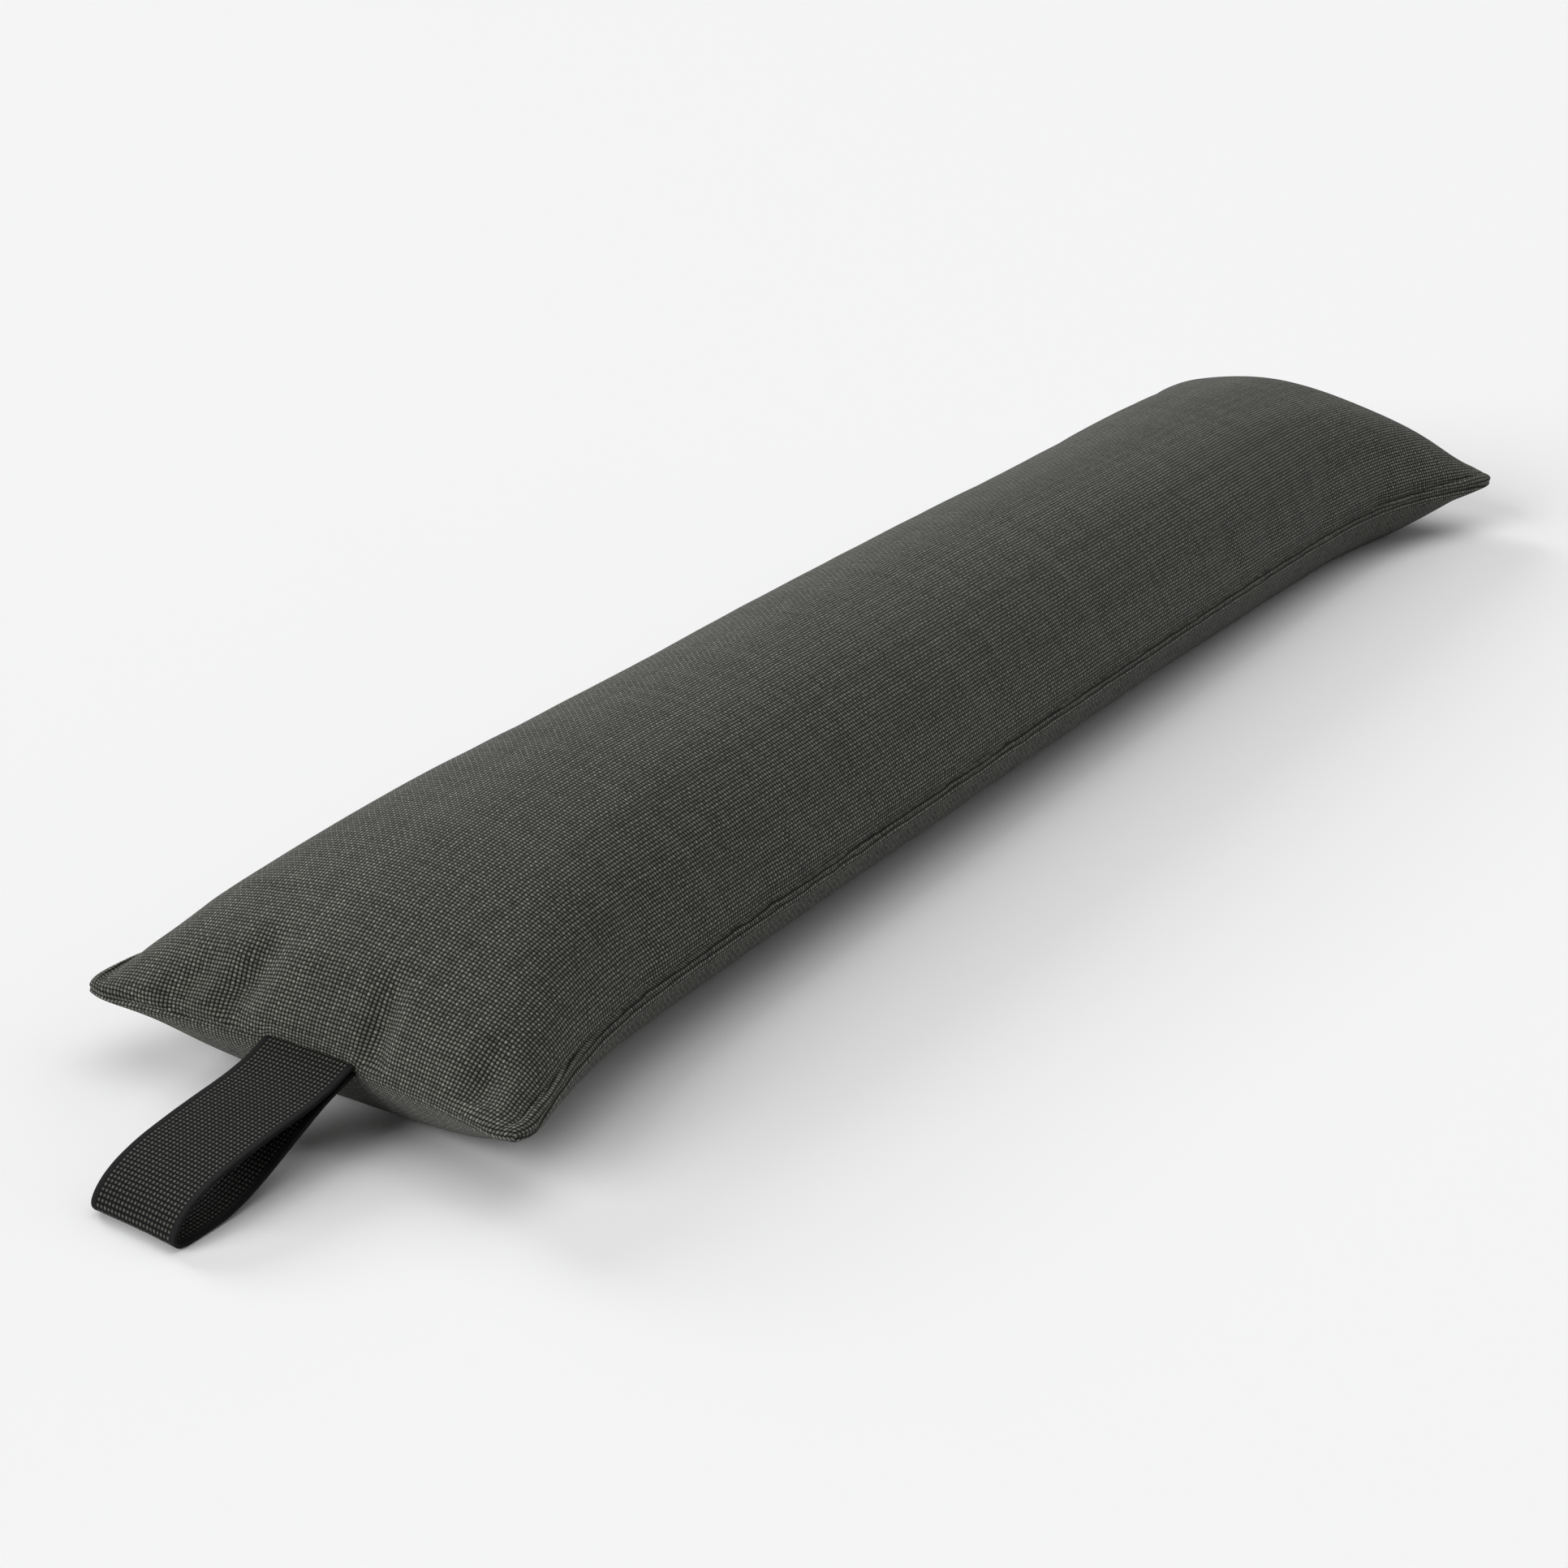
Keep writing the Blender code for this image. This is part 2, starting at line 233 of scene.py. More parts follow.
class WeaveGroup(ClothGroup):
    """A plain weave, shared by the canvas and the webbing.

    Each thread is a row of humps, sin to a power along it and across it, and the two systems
    take turns on top like a chessboard: lengthways where sin(pi x) sin(pi y) is above 0.
    """

    NAME = "plain weave"
    VALUES = ("Pitch Along", "Pitch Across", "Unevenness")
    RESULTS = ("Height", "Lengthways", "Tone")
    ALONG_POWER = 0.85
    ACROSS_POWER = 1.15
    TURN_SOFTNESS = 0.12              # how gradually one thread gives way to the other
    WANDER_SCALE = 90.0
    WANDER_DETAIL = 2.0
    WANDER_SPAN = 6.0                 # brings the noise, which stays near 0.5, to about a thread

    def fill(self, graph: Graph, given: bpy.types.NodeOutputs) -> dict[str, bpy.types.NodeSocket]:
        """Adds the weave's nodes.

        Args:
            graph: the group's own graph.
            given: the group's inputs, as sockets to link from.

        Returns:
            The thread's height, 1 where a lengthways thread is on top, and the thread's tone.
        """
        cloth = graph.node("SeparateXYZ", {0: given["Cloth"]}).outputs
        noise = {"Vector": given["Cloth"], "Scale": self.WANDER_SCALE, "Detail": self.WANDER_DETAIL}
        wander = graph.node("TexNoise", noise).outputs["Color"]
        drift = graph.node("SeparateXYZ", {0: wander}).outputs
        places, tones, numbers = [], [], []
        for place, pitch, shift in (
            (cloth["X"], given["Pitch Along"], drift["X"]),
            (cloth["Y"], given["Pitch Across"], drift["Y"]),
        ):
            moved = graph.math("MULTIPLY", graph.math("SUBTRACT", shift, 0.5), given["Unevenness"])
            count = graph.math("DIVIDE", place, pitch)
            steps = graph.math("MULTIPLY_ADD", moved, self.WANDER_SPAN, count)
            number = graph.math("FLOOR", steps)
            tone = graph.node("TexWhiteNoise", {"W": number}, noise_dimensions="1D")
            numbers.append(number)
            tones.append(tone.outputs["Value"])
            places.append(graph.math("SINE", graph.math("MULTIPLY", steps, math.pi)))
        turn = graph.math("MULTIPLY", *places)
        lengthways = graph.remap(turn, -self.TURN_SOFTNESS, self.TURN_SOFTNESS)
        crossing = graph.node("CombineXYZ", dict(enumerate(numbers))).outputs[0]
        spot = graph.node("TexWhiteNoise", {"Vector": crossing}, noise_dimensions="2D")

        hump_x, hump_y = (graph.math("ABSOLUTE", place) for place in places)
        humps = []
        for power_x, power_y in (
            (self.ALONG_POWER, self.ACROSS_POWER),
            (self.ACROSS_POWER, self.ALONG_POWER),
        ):
            rise_x = graph.math("POWER", hump_x, power_x)
            rise_y = graph.math("POWER", hump_y, power_y)
            humps.append(graph.math("MULTIPLY", rise_x, rise_y))
        long_hump, cross_hump = humps
        thread_tone = graph.between(lengthways, *tones)
        return {
            "Height": graph.between(lengthways, cross_hump, long_hump),
            "Lengthways": lengthways,
            "Tone": graph.between(0.5, thread_tone, spot.outputs["Value"]),
        }


class FibreGroup(ClothGroup):
    """Fuzz and unevenness of spun yarn, shared by the canvas and the webbing.

    Fuzz is fine noise, and Patches is slow noise that follows the dye and the handling of the
    cloth.
    """

    NAME = "yarn fibres"
    VALUES = ("Fuzz Scale", "Patch Scale")
    RESULTS = ("Fuzz", "Patches")
    DETAILS = (3.0, 4.0)

    def fill(self, graph: Graph, given: bpy.types.NodeOutputs) -> dict[str, bpy.types.NodeSocket]:
        """Adds the two noises.

        Args:
            graph: the group's own graph.
            given: the group's inputs, as sockets to link from.

        Returns:
            Each noise, from 0 to 1.
        """
        results = {}
        for result, scale, detail in zip(self.RESULTS, self.VALUES, self.DETAILS):
            noise = {"Vector": given["Cloth"], "Scale": given[scale], "Detail": detail}
            results[result] = graph.node("TexNoise", noise).outputs["Fac"]
        return results


@dataclass(frozen=True)
class WovenFinish:
    """A woven cloth's finish: two threads taking turns on top, with painted shade in the gaps."""

    name: str
    slot: str
    highlit_thread: Colour              # the crown of a lengthways thread, painted lighter as a highlight
    shaded_thread: Colour               # the crown of a crossways thread, painted darker as shade
    # painted shade: the near-black colour of the low places between the threads' crowns
    gap_shade: Colour
    pitch_along: float
    pitch_across: float
    thread_contrast: float
    crown: tuple[float, float]        # heights over which a gap's painted shade turns into a crown's painted highlight
    specular: float
    sheen: float
    sheen_roughness: float = 0.5
    roughness: tuple[float, float] = (0.82, 0.96)    # on a crown, and in a gap
    unevenness: float = 0.10
    fuzz_scale: float = 2600.0
    fuzz_contrast: float = 0.35
    fuzz_relief: float = 0.35
    patch_scale: float = 22.0
    patch_contrast: float = 0.10
    bump_height: float = 0.00040
    bump_strength: float = 0.8
    selvedge: float = 0.0             # width of the plain edge
    selvedge_end: tuple[float, float] = (0.8, 1.1)   # shares of that width where it fades out
    selvedge_height: float = 0.4
    selvedge_colour: Colour = (0.0, 0.0, 0.0)
    cloth_width: float = 1.0          # from one selvedge to the next in the UV map

    def edge_mask(self, graph: Graph, cloth: bpy.types.NodeSocket) -> bpy.types.NodeSocket:
        """Makes the mask of the plain edges of a narrow cloth.

        Args:
            graph: the material's graph.
            cloth: the place on the flat cloth.

        Returns:
            1 in the selvedges, and 0 between them.
        """
        across = graph.node("SeparateXYZ", {0: cloth}).outputs["Y"]
        turned = graph.math("MODULO", across, self.cloth_width)
        inside = graph.math("MINIMUM", turned, graph.math("SUBTRACT", self.cloth_width, turned))
        low, high = (share * self.selvedge for share in self.selvedge_end)
        return graph.remap(inside, low, high, 1.0, 0.0)

    def material(self, weave: WeaveGroup, fibres: FibreGroup) -> bpy.types.Material:
        """Makes the finish's material.

        Args:
            weave: the shared weave.
            fibres: the shared fibres.

        Returns:
            The material, which follows the cloth's UV map.
        """
        made = bpy.data.materials.new(self.name)
        made.use_nodes = True
        graph = Graph(made.node_tree)
        shader = made.node_tree.nodes["Principled BSDF"]
        cloth = graph.node("UVMap", uv_map=CLOTH_UV).outputs[0]
        woven = weave.place(graph, cloth, self.pitch_along, self.pitch_across, self.unevenness)
        spun = fibres.place(graph, cloth, self.fuzz_scale, self.patch_scale)

        # painted highlight and shade: lengthways crowns are painted lighter than crossways ones
        light, dark = opaque(self.highlit_thread), opaque(self.shaded_thread)
        threads = graph.mix(woven["Lengthways"], dark, light)
        # painted shade and highlight: low places between the threads take the gap's near-black
        # colour, and crowns take the threads' colours
        colour = graph.mix(graph.remap(woven["Height"], *self.crown), opaque(self.gap_shade), threads)
        height = woven["Height"]
        if self.selvedge:
            edge = self.edge_mask(graph, cloth)
            colour = graph.mix(edge, colour, opaque(self.selvedge_colour))
            height = graph.between(edge, height, self.selvedge_height)
        tone = 1.0
        for value, contrast in (
            (woven["Tone"], self.thread_contrast),
            (spun["Fuzz"], self.fuzz_contrast),
            (spun["Patches"], self.patch_contrast),
        ):
            spread = graph.math("MULTIPLY_ADD", value, 2 * contrast, 1 - contrast)
            tone = graph.math("MULTIPLY", tone, spread)
        toned = graph.node("VectorMath", {0: colour, 1: tone}, operation="MULTIPLY").outputs[0]
        graph.feed(shader.inputs["Base Color"], toned)

        rough = graph.remap(height, 0.0, 1.0, self.roughness[1], self.roughness[0])
        graph.feed(shader.inputs["Roughness"], rough)
        relief = graph.math("MULTIPLY_ADD", spun["Fuzz"], self.fuzz_relief, height)
        bump = {"Height": relief, "Distance": self.bump_height, "Strength": self.bump_strength}
        graph.feed(shader.inputs["Normal"], graph.node("Bump", bump).outputs[0])
        shader.inputs["Specular IOR Level"].default_value = self.specular
        shader.inputs["Sheen Weight"].default_value = self.sheen
        shader.inputs["Sheen Roughness"].default_value = self.sheen_roughness
        return made


CANVAS = WovenFinish(
    name="dark grey canvas",
    slot="canvas",
    # lengthways crowns painted lighter and crossways crowns darker: painted highlight and shade
    highlit_thread=(0.1741, 0.1756, 0.1528),
    shaded_thread=(0.1262, 0.1277, 0.1097),
    # painted shade between the threads
    gap_shade=(0.0060, 0.0060, 0.0055),
    pitch_along=0.00154,
    pitch_across=0.00150,
    thread_contrast=0.45,
    crown=(0.05, 0.95),
    specular=0.12,
    sheen=0.085,
)
WEBBING = WovenFinish(
    name="black webbing",
    slot="webbing",
    # lengthways crowns painted lighter and crossways crowns darker: painted highlight and shade
    highlit_thread=(0.0868, 0.0894, 0.0755),
    shaded_thread=(0.0676, 0.0695, 0.0586),
    # painted shade between the threads
    gap_shade=(0.0012, 0.0012, 0.0012),
    pitch_along=0.00180,
    pitch_across=0.00179,
    unevenness=0.03,
    thread_contrast=0.20,
    crown=(0.35, 1.0),
    selvedge=0.0020,
    cloth_width=0.0415,
    selvedge_colour=(0.006, 0.006, 0.006),
    roughness=(0.60, 0.85),
    specular=0.15,
    sheen=0.0,
)


# Numpy helpers


def quads(numbers: np.ndarray, flipped: bool = False) -> np.ndarray:
    """The faces between neighbouring points of a grid.

    Args:
        numbers: the grid of vertex numbers, or of anything else that each face's corners take.
        flipped: turns the faces over.

    Returns:
        One row for each face, with its four corners.
    """
    corners = (numbers[:-1, :-1], numbers[1:, :-1], numbers[1:, 1:], numbers[:-1, 1:])
    faces = np.stack(corners, axis=2).reshape(-1, 4, *numbers.shape[2:])
    return faces[:, ::-1] if flipped else faces


def mesh_object(
    name: str,
    points: np.ndarray,
    faces: np.ndarray,
    cloth: np.ndarray,
    caps: Sequence[np.ndarray] = (),
) -> bpy.types.Object:
    """Makes an object from arrays, with its place in its mesh.

    Args:
        name: the object's name.
        points: one row for each vertex, in metres.
        faces: one row for each face, with its vertices' numbers.
        cloth: the place on the flat cloth of each face's corners, in metres.
        caps: the rings of vertices that close open ends, each in one face.

    Returns:
        The new object, linked to the scene and shaded smooth.
    """
    mesh = bpy.data.meshes.new(name)
    mesh.from_pydata(points.tolist(), [], faces.tolist() + [ring.tolist() for ring in caps])
    uv = mesh.uv_layers.new(name=CLOTH_UV)
    ends = np.zeros((sum(len(ring) for ring in caps), 2))
    places = np.concatenate([cloth.reshape(-1, 2), ends])
    uv.data.foreach_set("uv", places.astype(np.float32).ravel())
    mesh.shade_smooth()
    mesh.update()
    made = bpy.data.objects.new(name, mesh)
    bpy.context.scene.collection.objects.link(made)
    return made


def curve_through(points: np.ndarray, steps: int) -> np.ndarray:
    """The smooth curve through points: the Catmull-Rom cubic between each two of them.

    Args:
        points: one row for each point.
        steps: steps between each two points.

    Returns:
        The curve's own points, from the first to the last.
    """
    ends = np.concatenate([2 * points[:1] - points[1:2], points, 2 * points[-1:] - points[-2:-1]])
    before, start, finish, after = (
        part[:, None, :] for part in (ends[:-3], ends[1:-2], ends[2:-1], ends[3:])
    )
    t = (np.arange(steps) / steps)[None, :, None]
    curve = 0.5 * (
        2 * start
        + (finish - before) * t
        + (2 * before - 5 * start + 4 * finish - after) * t**2
        + (3 * start - before - 3 * finish + after) * t**3
    )
    return np.concatenate([curve.reshape(-1, points.shape[1]), points[-1:]])


def length_along(points: np.ndarray) -> np.ndarray:
    """The length of a line of points up to each of them."""
    steps = np.linalg.norm(np.diff(points, axis=0), axis=1)
    return np.concatenate([[0.0], np.cumsum(steps)])


def bell(distance: np.ndarray, width: Union[float, np.ndarray]) -> np.ndarray:
    """The bell curve exp(-(distance / width)^2)."""
    return np.exp(-((distance / width) ** 2))


def blur_matrix(places: np.ndarray, sources: np.ndarray, reach: float) -> np.ndarray:
    """Weights that blur values from one row of places onto another: a bell curve of distance.

    Args:
        places: where the values are wanted.
        sources: where they are known.
        reach: the bell curve's standard deviation.

    Returns:
        One row for each place, which adds up to 1.
    """
    weights = np.exp(-0.5 * ((places[:, None] - sources[None, :]) / reach) ** 2)
    return weights / weights.sum(axis=1, keepdims=True)


def soft_noise(
    along: np.ndarray, across: np.ndarray, wavelength: float, seed: int
) -> np.ndarray:
    """Smooth unevenness over the cloth: plane waves of about the same length, added up.

    Args:
        along: places along the cloth.
        across: places across the cloth.
        wavelength: metres from one swell to the next, about.
        seed: the start of the random directions and phases.

    Returns:
        Values mostly between -1.5 and 1.5.
    """
    draw = np.random.default_rng(seed)
    turn = draw.uniform(0, 2 * math.pi, NOISE_WAVES)
    phase = draw.uniform(0, 2 * math.pi, NOISE_WAVES)
    pace = 2 * math.pi / (wavelength * draw.uniform(*NOISE_SPREAD, NOISE_WAVES))
    place = along[..., None] * np.cos(turn) + across[..., None] * np.sin(turn)
    return np.sin(place * pace + phase).sum(axis=-1) / math.sqrt(NOISE_WAVES)


# The filled cover


@dataclass(frozen=True)
class Section:
    """One section across the cushion."""

    along: float          # share of the length from the loop's end
    half_width: float     # at the seam
    seam_height: float
    crown: float          # the crown's height above the seam


@dataclass(frozen=True)
class End:
    """One short seam and the cover's rise from it."""

    drawn_in: float       # how far its middle is drawn in
    height: float
    rise_run: float       # run of the crown's rise
    rise_start: float     # the two exponents of that rise
    rise_end: float
    fall_run: float       # run of the underside's fall


@dataclass(frozen=True)
class Corner:
    """One corner, with the flat ear that the filling doesn't get into."""

    half_width: float
    flare: float          # reach of its flare along the cushion
    rounding: float
    height: float
    ear: float            # reach of the flat ear


@dataclass(frozen=True)
class Groove:
    """A furrow beside the seam; a negative depth is a ridge."""

    depth: float
    place: float          # its distance from the seam
    width: float

    def cut(self, distance: np.ndarray) -> np.ndarray:
        """The depth at distances from the seam: depth x exp(-((distance - place) / width)^2)."""
        return self.depth * bell(distance - self.place, self.width)


@dataclass(frozen=True)
class Pucker:
    """A soft trough in a panel, from one place to another; a negative depth is a swelling."""

    along: float
    across: float
    end_along: float
    end_across: float
    depth: float
    width: float


@dataclass
class CushionForm:
    """The smooth filled form, before its seams and puckers, with u along and v across it."""

    length: float = 0.812
    centre: tuple[float, float] = (0.0400, 0.0006)
    crown_squareness: tuple[float, float] = (1.80, 1.76)
    belly_squareness: tuple[float, float] = (2.18, 2.00)
    belly_fall: tuple[float, float] = (2.2, 1.6)
    belly_depth: float = 0.0426
    floor_ease: float = 0.002
    seam_settle: float = 0.07
    flare_power: float = 1.5
    ear_flatness: float = 0.8
    sections: Sequence[Section] = (
        Section(0.1, 0.0817, 0.0341, 0.0605),
        Section(0.3, 0.0772, 0.0320, 0.0559),
        Section(0.5, 0.0750, 0.0313, 0.0560),
        Section(0.7, 0.0722, 0.0288, 0.0559),
        Section(0.9, 0.0704, 0.0250, 0.0604),
    )
    sections_reach: tuple[float, float] = (0.06, 0.94)
    near_end: End = End(0.0130, 0.0284, 0.248, 2.56, 2.10, 0.078)
    far_end: End = End(0.0048, 0.0262, 0.202, 2.54, 2.40, 0.096)
    near_left: Corner = Corner(0.1014, 0.0525, 0.017, 0.0302, 0.0288)
    near_right: Corner = Corner(0.1030, 0.0465, 0.018, 0.0294, 0.0268)
    far_right: Corner = Corner(0.1034, 0.0490, 0.014, 0.0240, 0.0245)
    far_left: Corner = Corner(0.1020, 0.0510, 0.014, 0.0262, 0.0250)

    def through_sections(self, column: str, along: np.ndarray) -> np.ndarray:
        """The polynomial of the fourth degree through one column of the sections.

        Args:
            column: the column's name.
            along: shares of the length.

        Returns:
            The column's value at each share.
        """
        stations = [section.along for section in self.sections]
        values = [getattr(section, column) for section in self.sections]
        curve = np.polyfit(stations, values, len(self.sections) - 1)
        return np.polyval(curve, np.clip(along, *self.sections_reach))

    def at_end(self, column: str, u: np.ndarray) -> np.ndarray:
        """The value of the nearer end."""
        return np.where(u < 0, getattr(self.near_end, column), getattr(self.far_end, column))

    def at_corner(self, column: str, u: np.ndarray, v: np.ndarray) -> np.ndarray:
        """The value of the nearest corner.

        Args:
            column: the value's name.
            u: from -1 at the loop's end to 1.
            v: from -1 at the right to 1.

        Returns:
            The value at each place.
        """
        near = np.where(v > 0, getattr(self.near_left, column), getattr(self.near_right, column))
        far = np.where(v > 0, getattr(self.far_left, column), getattr(self.far_right, column))
        return np.where(u < 0, near, far)

    def above_floor(self, height: np.ndarray) -> np.ndarray:
        """The height, stopped at the floor with a small parabola.

        Args:
            height: heights that may be below the floor.

        Returns:
            The heights, none of them below 0.
        """
        ease = self.floor_ease
        rounded = (height + ease) ** 2 / (4 * ease)
        return np.where(height > ease, height, np.where(height < -ease, 0.0, rounded))

    def half_width(self, u: np.ndarray, v: np.ndarray) -> np.ndarray:
        """Half of the width at the seam: the waist, and towards the corners a share more.

        The share is exp(-(distance from the end / flare)^1.5).

        Args:
            u: from -1 at the loop's end to 1.
            v: from -1 at the right to 1.

        Returns:
            Half of the width at each place.
        """
        waist = self.through_sections("half_width", (u + 1) / 2)
        from_end = (1 - np.abs(u)) * self.length / 2
        share = np.exp(-((from_end / self.at_corner("flare", u, v)) ** self.flare_power))
        return waist + (self.at_corner("half_width", u, v) - waist) * share

    def seam_height(self, u: np.ndarray, v: np.ndarray) -> np.ndarray:
        """The seam's height: the sections', and near the ends the short seam's and the corners'.

        The ends' own share is exp(-(distance from the end / settle)^2).

        Args:
            u: from -1 at the loop's end to 1.
            v: from -1 at the right to 1.

        Returns:
            The height at each place.
        """
        from_end = (1 - np.abs(u)) * self.length / 2
        own = self.at_end("height", u)
        own = own + (self.at_corner("height", u, v) - own) * v**2
        settle = bell(from_end, self.seam_settle)
        return own * settle + self.through_sections("seam_height", (u + 1) / 2) * (1 - settle)

    def round_corners(
        self,
        x: np.ndarray,
        y: np.ndarray,
        half_length: np.ndarray,
        half_width: np.ndarray,
        rounding: np.ndarray,
    ) -> Pair:
        """Maps a square at each corner to a quarter disc: p becomes p sqrt(1 - q^2 / 2).

        Args:
            x: places along.
            y: places across.
            half_length: half of the cover's length there.
            half_width: half of its width there.
            rounding: the square's side.

        Returns:
            The rounded x and y.
        """
        p = np.clip(1 - (half_length - np.abs(x)) / rounding, 0, 1)
        q = np.clip(1 - (half_width - np.abs(y)) / rounding, 0, 1)
        x_in = p - p * np.sqrt(1 - q**2 / 2)
        y_in = q - q * np.sqrt(1 - p**2 / 2)
        return x - np.sign(x) * x_in * rounding, y - np.sign(y) * y_in * rounding

    def points(self, u: np.ndarray, v: np.ndarray, side: Side) -> Pair:
        """Points of one filled panel.

        The crown is the seam's height plus crown x rise(u) x (1 - |v|^a)^(1/b), where the rise is
        (1 - (1 - run)^c)^(1/d) from each end. The belly falls from the seam in the same way, and
        stops at the floor. Both are flattened by exp(-(distance / ear)^2) at the corners.

        Args:
            u: from -1 at the loop's end to 1.
            v: from -1 at the right to 1.
            side: the panel.

        Returns:
            The points, and how much each belongs to a corner's ear, from 0 to 1.
        """
        from_end = (1 - np.abs(u)) * self.length / 2
        half_width = self.half_width(u, v)
        half_length = self.length / 2 - self.at_end("drawn_in", u) * (1 - v**2)
        from_side = self.at_corner("half_width", u, v) - np.abs(v * half_width)
        from_corner = np.hypot(self.length / 2 - np.abs(u * half_length), from_side)
        ear = bell(from_corner, self.at_corner("ear", u, v))
        filled = 1 - self.ear_flatness * ear
        seam = self.seam_height(u, v)
        if side is Side.TOP:
            run = np.clip(from_end / self.at_end("rise_run", u), 0, 1)
            start, end = self.at_end("rise_start", u), self.at_end("rise_end", u)
            rise = (1 - (1 - run) ** start) ** (1 / end)
            arc = (1 - np.abs(v) ** self.crown_squareness[0]) ** (1 / self.crown_squareness[1])
            z = seam + self.through_sections("crown", (u + 1) / 2) * rise * arc * filled
        else:
            run = np.clip(from_end / self.at_end("fall_run", u), 0, 1)
            fall = (1 - (1 - run) ** self.belly_fall[0]) ** (1 / self.belly_fall[1])
            arc = (1 - np.abs(v) ** self.belly_squareness[0]) ** (1 / self.belly_squareness[1])
            z = self.above_floor(seam - self.belly_depth * fall * arc * filled)
        rounding = self.at_corner("rounding", u, v)
        x, y = u * half_length, v * half_width
        x, y = self.round_corners(x, y, half_length, half_width, rounding)
        return np.stack([x, y, z], axis=-1), ear


@dataclass
class ClothGrid:
    """Rows of points over a flat panel, closest together near its seams."""

    panel_length: float = 0.845
    panel_width: float = 0.200
    first_step: float = 0.00055
    fine_rows: int = 16
    growth: float = 1.12
    largest_along: float = 0.00260
    largest_across: float = 0.00200
    spread_passes: int = 12

    def shares(self, length: float, largest: float) -> np.ndarray:
        """Shares of a length, from 0 to 1, in steps that grow from both ends.

        Args:
            length: the panel's length or width.
            largest: the longest step.

        Returns:
            The shares.
        """
        steps = [self.first_step] * self.fine_rows
        while sum(steps) < length / 2:
            steps.append(min(steps[-1] * self.growth, largest))
        rows = np.concatenate([[0.0], np.cumsum(steps)])
        rows /= 2 * rows[-1]
        return np.concatenate([rows, 1 - rows[-2::-1]])

    def axes(self) -> Pair:
        """The shares along and across."""
        return (
            self.shares(self.panel_length, self.largest_along),
            self.shares(self.panel_width, self.largest_across),
        )

    def places(self, shares_along: np.ndarray, shares_across: np.ndarray) -> Pair:
        """Places on the flat panel, in metres.

        Args:
            shares_along: the grid's rows.
            shares_across: the grid's columns.

        Returns:
            Places along from the loop's seam, and across from the middle.
        """
        rows = shares_along * self.panel_length
        columns = (shares_across - 0.5) * self.panel_width
        along, across = np.meshgrid(rows, columns, indexing="ij")
        return along, across

    @staticmethod
    def spread(values: np.ndarray, points: np.ndarray, shares: np.ndarray) -> np.ndarray:
        """Moves values along each grid line, to where the cloth's length reaches each share.

        Args:
            values: the parameters of the grid, a line in each row.
            points: their points in space.
            shares: the wanted shares of each line's length.

        Returns:
            The moved values.
        """
        moved = []
        for row, line in zip(values, points):
            length = length_along(line)
            moved.append([np.interp(shares * length[-1], length, column) for column in row.T])
        return np.array(moved).transpose(0, 2, 1)

    def over(
        self, form: CushionForm, side: Side, shares_along: np.ndarray, shares_across: np.ndarray
    ) -> Pair:
        """The form's parameters where the grid's steps are even over the filled cloth.

        Args:
            form: the filled form.
            side: the panel.
            shares_along: the grid's rows.
            shares_across: the grid's columns.

        Returns:
            u and v of each grid point.
        """
        u, v = np.meshgrid(shares_along * 2 - 1, shares_across * 2 - 1, indexing="ij")
        grid = np.stack([u, v], axis=-1)
        for _ in range(self.spread_passes):
            points, _ = form.points(grid[..., 0], grid[..., 1], side)
            grid = self.spread(grid, points, shares_across)
            points, _ = form.points(grid[..., 0], grid[..., 1], side)
            turned = self.spread(grid.transpose(1, 0, 2), points.transpose(1, 0, 2), shares_along)
            grid = turned.transpose(1, 0, 2)
        return grid[..., 0], grid[..., 1]


class ClosedPanels:
    """Numbers the points of two panels that share their border, as one closed mesh."""

    def __init__(self, rows: int, columns: int) -> None:
        """Numbers the top panel row by row, then the inner points of the underside.

        Args:
            rows: rows of points along each panel.
            columns: points in each row.
        """
        self.upper = np.arange(rows * columns).reshape(rows, columns)
        self.under = self.upper.copy()
        inner = np.arange((rows - 2) * (columns - 2)).reshape(rows - 2, columns - 2)
        self.under[1:-1, 1:-1] = rows * columns + inner
        self.faces = np.concatenate([quads(self.upper), quads(self.under, True)])

    def points(self, upper: np.ndarray, under: np.ndarray) -> np.ndarray:
        """The points of both panels in one row each."""
        return np.concatenate([upper.reshape(-1, 3), under[1:-1, 1:-1].reshape(-1, 3)])

    def split(self, points: np.ndarray) -> Pair:
        """The points of the top panel and of the underside, as grids."""
        return points[self.upper], points[self.under]


